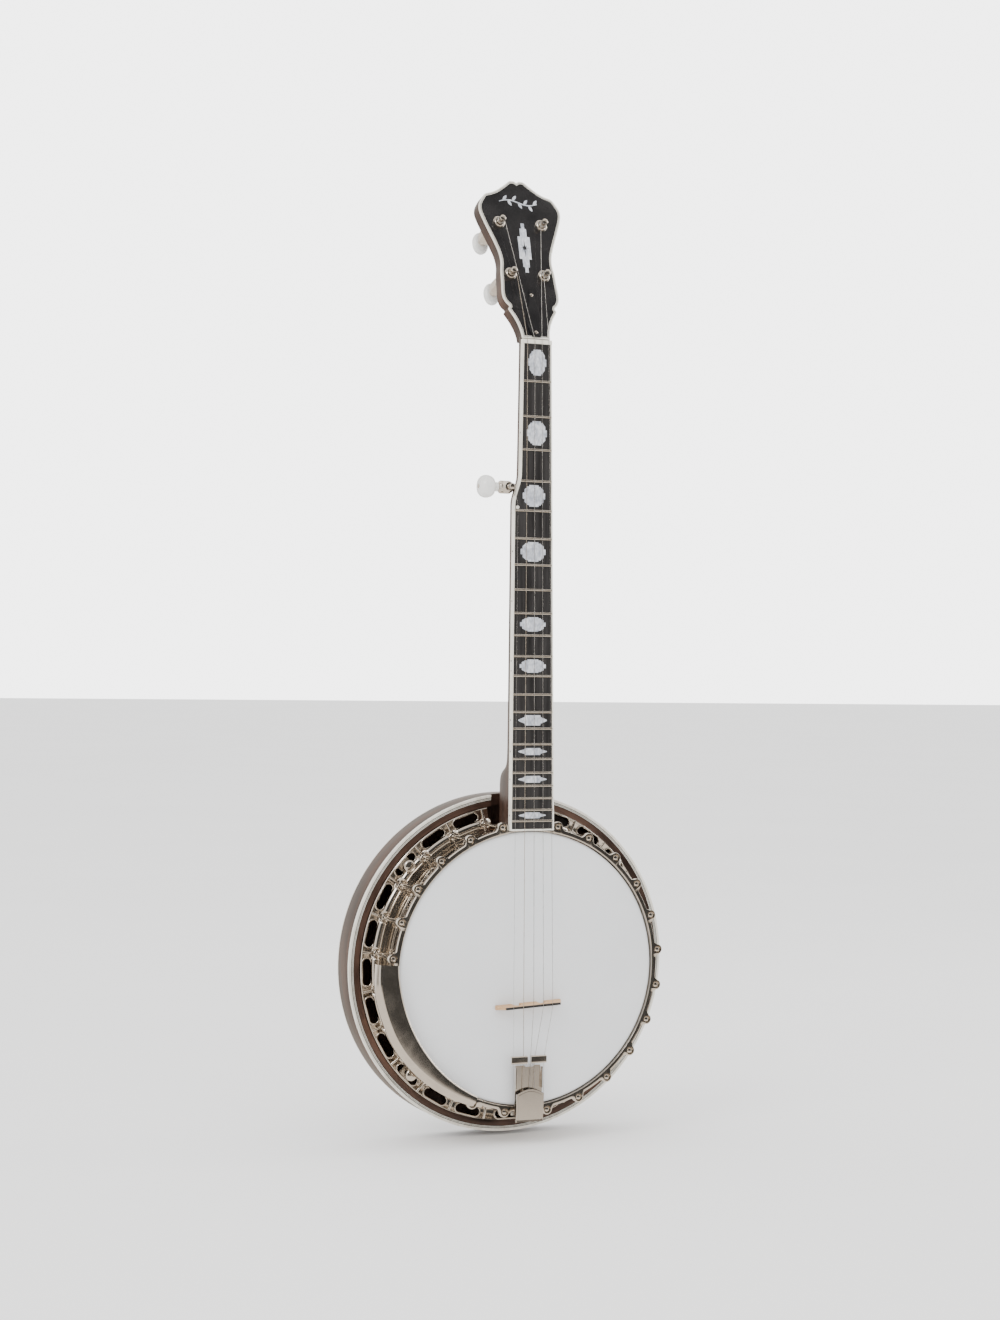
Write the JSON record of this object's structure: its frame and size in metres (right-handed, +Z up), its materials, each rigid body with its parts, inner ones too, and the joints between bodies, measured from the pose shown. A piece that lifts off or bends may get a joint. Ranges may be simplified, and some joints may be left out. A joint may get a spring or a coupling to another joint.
{
  "type": "banjo",
  "caption": "Long-necked plucked instrument with a round skin-headed drum, a fretted neck, geared tuning pegs, an armrest and a detachable wooden back bowl.",
  "frame": {"origin": "point inside the neck just under the nut, where a wall hanger's yoke carries the instrument", "axes": "+Z up the neck, the strings and the head face -Y, +X is the treble side"},
  "size_m": [0.3518, 0.1203, 0.9767],
  "materials": {
    "mahogany": "stained brown, satin lacquer",
    "ebony": "oiled, close grained",
    "ivoroid": "polished",
    "black_lacquer": "black gloss lacquer",
    "nickel": "polished nickel plate",
    "steel": "drawn steel",
    "head_skin": "frosted film",
    "maple": "bare, sanded",
    "pearl_plastic": "pearl effect, polished"
  },
  "bodies": {
    "instrument": {"neck": "mahogany", "fingerboard": "ebony", "fingerboard_binding": "ivoroid", "nut": "ivoroid", "fifth_string_nut": "ivoroid", "peghead_overlay": "black_lacquer", "peghead_binding": "ivoroid", "truss_rod_cover": "black_lacquer", "truss_rod": "steel", "tuner_1_housing": "nickel", "tuner_2_housing": "nickel", "tuner_3_housing": "nickel", "tuner_4_housing": "nickel", "fifth_tuner_housing": "nickel", "string_4": "steel", "string_3": "steel", "string_2": "steel", "string_1": "steel", "string_5": "steel", "bridge_base": "maple", "bridge_top": "ebony", "head": "head_skin", "tone_ring": "nickel", "rim": "maple", "flange": "nickel", "tension_hoop": "nickel", "coordinator_rod_front": "steel", "coordinator_rod_back": "steel", "armrest": "nickel", "armrest_bracket": "nickel", "tailpiece_bracket": "nickel", "tailpiece_body": "nickel"},
    "tuner_1_knob": {"tuner_1_button": "pearl_plastic"},
    "tuner_1_shaft": {"tuner_1_post": "nickel"},
    "tuner_2_knob": {"tuner_2_button": "pearl_plastic"},
    "tuner_2_shaft": {"tuner_2_post": "nickel"},
    "tuner_3_knob": {"tuner_3_button": "pearl_plastic"},
    "tuner_3_shaft": {"tuner_3_post": "nickel"},
    "tuner_4_knob": {"tuner_4_button": "pearl_plastic"},
    "tuner_4_shaft": {"tuner_4_post": "nickel"},
    "fifth_tuner_knob": {"fifth_tuner_button": "pearl_plastic"},
    "fifth_tuner_shaft": {"fifth_tuner_post": "nickel"},
    "tailpiece_cover": {"tailpiece_lid": "nickel"},
    "resonator": {"resonator_wall": "mahogany", "resonator_back": "mahogany", "resonator_front_binding": "ivoroid", "resonator_back_binding": "ivoroid", "resonator_lug_1": "nickel", "resonator_lug_2": "nickel", "resonator_lug_3": "nickel", "resonator_lug_4": "nickel"},
    "thumbscrew_1_body": {"thumbscrew_1": "nickel"},
    "thumbscrew_2_body": {"thumbscrew_2": "nickel"},
    "thumbscrew_3_body": {"thumbscrew_3": "nickel"},
    "thumbscrew_4_body": {"thumbscrew_4": "nickel"}
  },
  "joints": [
    {"name": "tuner_1_turn", "type": "hinge", "parent": "instrument", "child": "tuner_1_knob", "pos_m": [-0.028, 0.06982, 0.114], "axis": [0, -0.9588, 0.284], "continuous": true},
    {"name": "tuner_1_wind", "type": "hinge", "parent": "instrument", "child": "tuner_1_shaft", "pos_m": [-0.028, 0.02092, 0.12849], "axis": [0, -0.9588, 0.284], "continuous": true},
    {"name": "tuner_2_turn", "type": "hinge", "parent": "instrument", "child": "tuner_2_knob", "pos_m": [0.0186, 0.06982, 0.114], "axis": [0, -0.9588, 0.284], "continuous": true},
    {"name": "tuner_2_wind", "type": "hinge", "parent": "instrument", "child": "tuner_2_shaft", "pos_m": [0.0186, 0.02092, 0.12849], "axis": [0, -0.9588, 0.284], "continuous": true},
    {"name": "tuner_3_turn", "type": "hinge", "parent": "instrument", "child": "tuner_3_knob", "pos_m": [-0.0212, 0.05406, 0.06079], "axis": [0, -0.9588, 0.284], "continuous": true},
    {"name": "tuner_3_wind", "type": "hinge", "parent": "instrument", "child": "tuner_3_shaft", "pos_m": [-0.0212, 0.00516, 0.07527], "axis": [0, -0.9588, 0.284], "continuous": true},
    {"name": "tuner_4_turn", "type": "hinge", "parent": "instrument", "child": "tuner_4_knob", "pos_m": [0.0156, 0.05406, 0.06079], "axis": [0, -0.9588, 0.284], "continuous": true},
    {"name": "tuner_4_wind", "type": "hinge", "parent": "instrument", "child": "tuner_4_shaft", "pos_m": [0.0156, 0.00516, 0.07527], "axis": [0, -0.9588, 0.284], "continuous": true},
    {"name": "fifth_tuner_turn", "type": "hinge", "parent": "instrument", "child": "fifth_tuner_knob", "pos_m": [-0.05, -0.0043, -0.141], "axis": [-1, 0, 0], "continuous": true},
    {"name": "fifth_tuner_wind", "type": "hinge", "parent": "instrument", "child": "fifth_tuner_shaft", "pos_m": [-0.0295, -0.0213, -0.141], "axis": [0, -1, 0], "continuous": true},
    {"name": "tailpiece_lid_swing", "type": "hinge", "parent": "instrument", "child": "tailpiece_cover", "pos_m": [-0.004, -0.0334, -0.7816], "axis": [1, 0, 0], "range_deg": [0, 95]},
    {"name": "resonator_removal", "type": "slide", "parent": "instrument", "child": "resonator", "axis": [0, 1, 0], "range_m": [0, 0.09]},
    {"name": "thumbscrew_1_turn", "type": "hinge", "parent": "instrument", "child": "thumbscrew_1_body", "pos_m": [0.11181, 0.014, -0.52409], "axis": [0, 1, 0], "continuous": true},
    {"name": "thumbscrew_2_turn", "type": "hinge", "parent": "instrument", "child": "thumbscrew_2_body", "pos_m": [-0.11982, 0.014, -0.52409], "axis": [0, 1, 0], "continuous": true},
    {"name": "thumbscrew_3_turn", "type": "hinge", "parent": "instrument", "child": "thumbscrew_3_body", "pos_m": [0.10679, 0.014, -0.73725], "axis": [0, 1, 0], "continuous": true},
    {"name": "thumbscrew_4_turn", "type": "hinge", "parent": "instrument", "child": "thumbscrew_4_body", "pos_m": [-0.11479, 0.014, -0.73725], "axis": [0, 1, 0], "continuous": true}
  ],
  "couplings": [
    {"joint": "tuner_1_wind", "follows": "tuner_1_turn", "ratio": 0.25},
    {"joint": "tuner_2_wind", "follows": "tuner_2_turn", "ratio": 0.25},
    {"joint": "tuner_3_wind", "follows": "tuner_3_turn", "ratio": 0.25},
    {"joint": "tuner_4_wind", "follows": "tuner_4_turn", "ratio": 0.25},
    {"joint": "fifth_tuner_wind", "follows": "fifth_tuner_turn", "ratio": 0.1}
  ]
}
